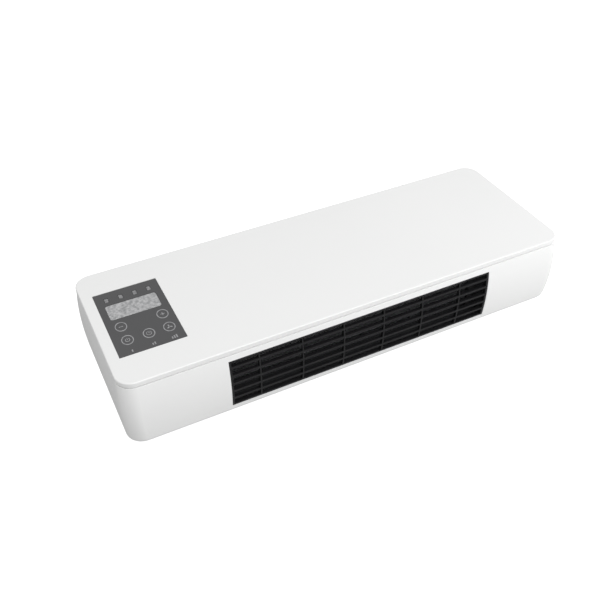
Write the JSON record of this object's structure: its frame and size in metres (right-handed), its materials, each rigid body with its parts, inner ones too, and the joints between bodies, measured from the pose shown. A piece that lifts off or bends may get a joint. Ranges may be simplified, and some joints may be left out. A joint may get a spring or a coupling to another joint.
{
  "type": "bathroom wall fan heater",
  "caption": "Slim white wall fan heater with a flat front panel, barrel-sided casing, black outlet grille along one long side and a dark control panel at one end.",
  "frame": {"origin": "centre of the back face, the face that goes against the wall, at the bottom of the bounding box", "axes": "+Z out of the wall through the front panel; -Y towards the air outlet, which faces down on the wall; +Y towards the air intake; -X towards the control panel; the heater lies on its back, as in the picture"},
  "size_m": [0.5444, 0.1928, 0.09],
  "materials": {
    "body_white": "satin white moulded ABS",
    "cover_white": "fine-textured white moulded ABS",
    "grille_black": "satin black heat-resistant plastic",
    "net_black": "matt black woven net on a moulded frame",
    "overlay_grey": "smooth dark grey printed film",
    "display_grey": "light grey translucent window",
    "lens_clear": "frosted light pipe",
    "part_black": "moulded black plastic",
    "board_green": "green solder mask on glass fibre board",
    "spring_steel": "bright spring wire",
    "steel": "zinc-plated steel",
    "aluminium": "folded aluminium",
    "bronze": "sintered bronze",
    "rubber": "matt black rubber",
    "duct_grey": "dark grey heat-resistant moulded plastic",
    "heat_plastic": "dark glass-filled plastic",
    "relay_blue": "blue moulded relay case",
    "fuse_glass": "glass tube with metal caps"
  },
  "bodies": {
    "heater_body": {"front_panel": "body_white", "main_casing": "body_white", "rear_cover": "cover_white", "cover_screw_1": "steel", "cover_screw_2": "steel", "cover_screw_3": "steel", "cover_screw_4": "steel", "cover_screw_5": "steel", "cover_screw_6": "steel", "outlet_grille": "grille_black", "control_overlay": "overlay_grey", "display_window": "display_grey", "indicator_lens_1": "lens_clear", "indicator_lens_2": "lens_clear", "indicator_lens_3": "lens_clear", "indicator_lens_4": "lens_clear", "display_module": "part_black", "infrared_receiver": "part_black", "supply_transformer": "part_black", "supply_capacitor": "part_black", "buzzer": "part_black", "thermostat": "part_black", "switch_housing": "part_black", "display_board": "board_green", "power_board": "board_green", "touch_spring_1": "spring_steel", "touch_spring_2": "spring_steel", "touch_spring_3": "spring_steel", "touch_spring_4": "spring_steel", "touch_spring_5": "spring_steel", "heater_relay_1": "relay_blue", "heater_relay_2": "relay_blue", "fan_relay": "relay_blue", "board_fuse": "fuse_glass", "terminal_block": "cover_white", "scroll_housing": "duct_grey", "air_guide": "duct_grey", "heater_fins_1": "aluminium", "heater_fins_2": "aluminium", "heater_fins_3": "aluminium", "heater_fins_4": "aluminium", "ptc_bar_1": "aluminium", "ptc_bar_2": "aluminium", "heater_holder_left": "heat_plastic", "heater_holder_right": "heat_plastic", "thermal_fuse": "steel", "motor_can": "steel", "motor_bracket": "steel", "bearing_bush": "bronze", "bearing_seat": "rubber", "motor_ring_front": "rubber", "motor_ring_rear": "rubber", "cord_inlet": "rubber"},
    "fan_wheel": {"impeller": "heat_plastic", "stub_shaft": "steel", "motor_shaft": "steel", "motor_rotor": "steel"},
    "intake_filter": {"intake_grille": "body_white", "dust_net": "net_black"},
    "rocker": {"power_rocker": "part_black"}
  },
  "joints": [
    {"name": "fan_spin", "type": "hinge", "parent": "heater_body", "child": "fan_wheel", "pos_m": [0, 0.016, 0.043], "axis": [1, 0, 0], "continuous": true},
    {"name": "filter_pull", "type": "slide", "parent": "heater_body", "child": "intake_filter", "axis": [0, 1, 0], "range_m": [0, 0.018]},
    {"name": "rocker_press", "type": "hinge", "parent": "heater_body", "child": "rocker", "pos_m": [0.262, 0.066, 0.045], "axis": [0, -1, 0], "range_deg": [0, 16]}
  ]
}
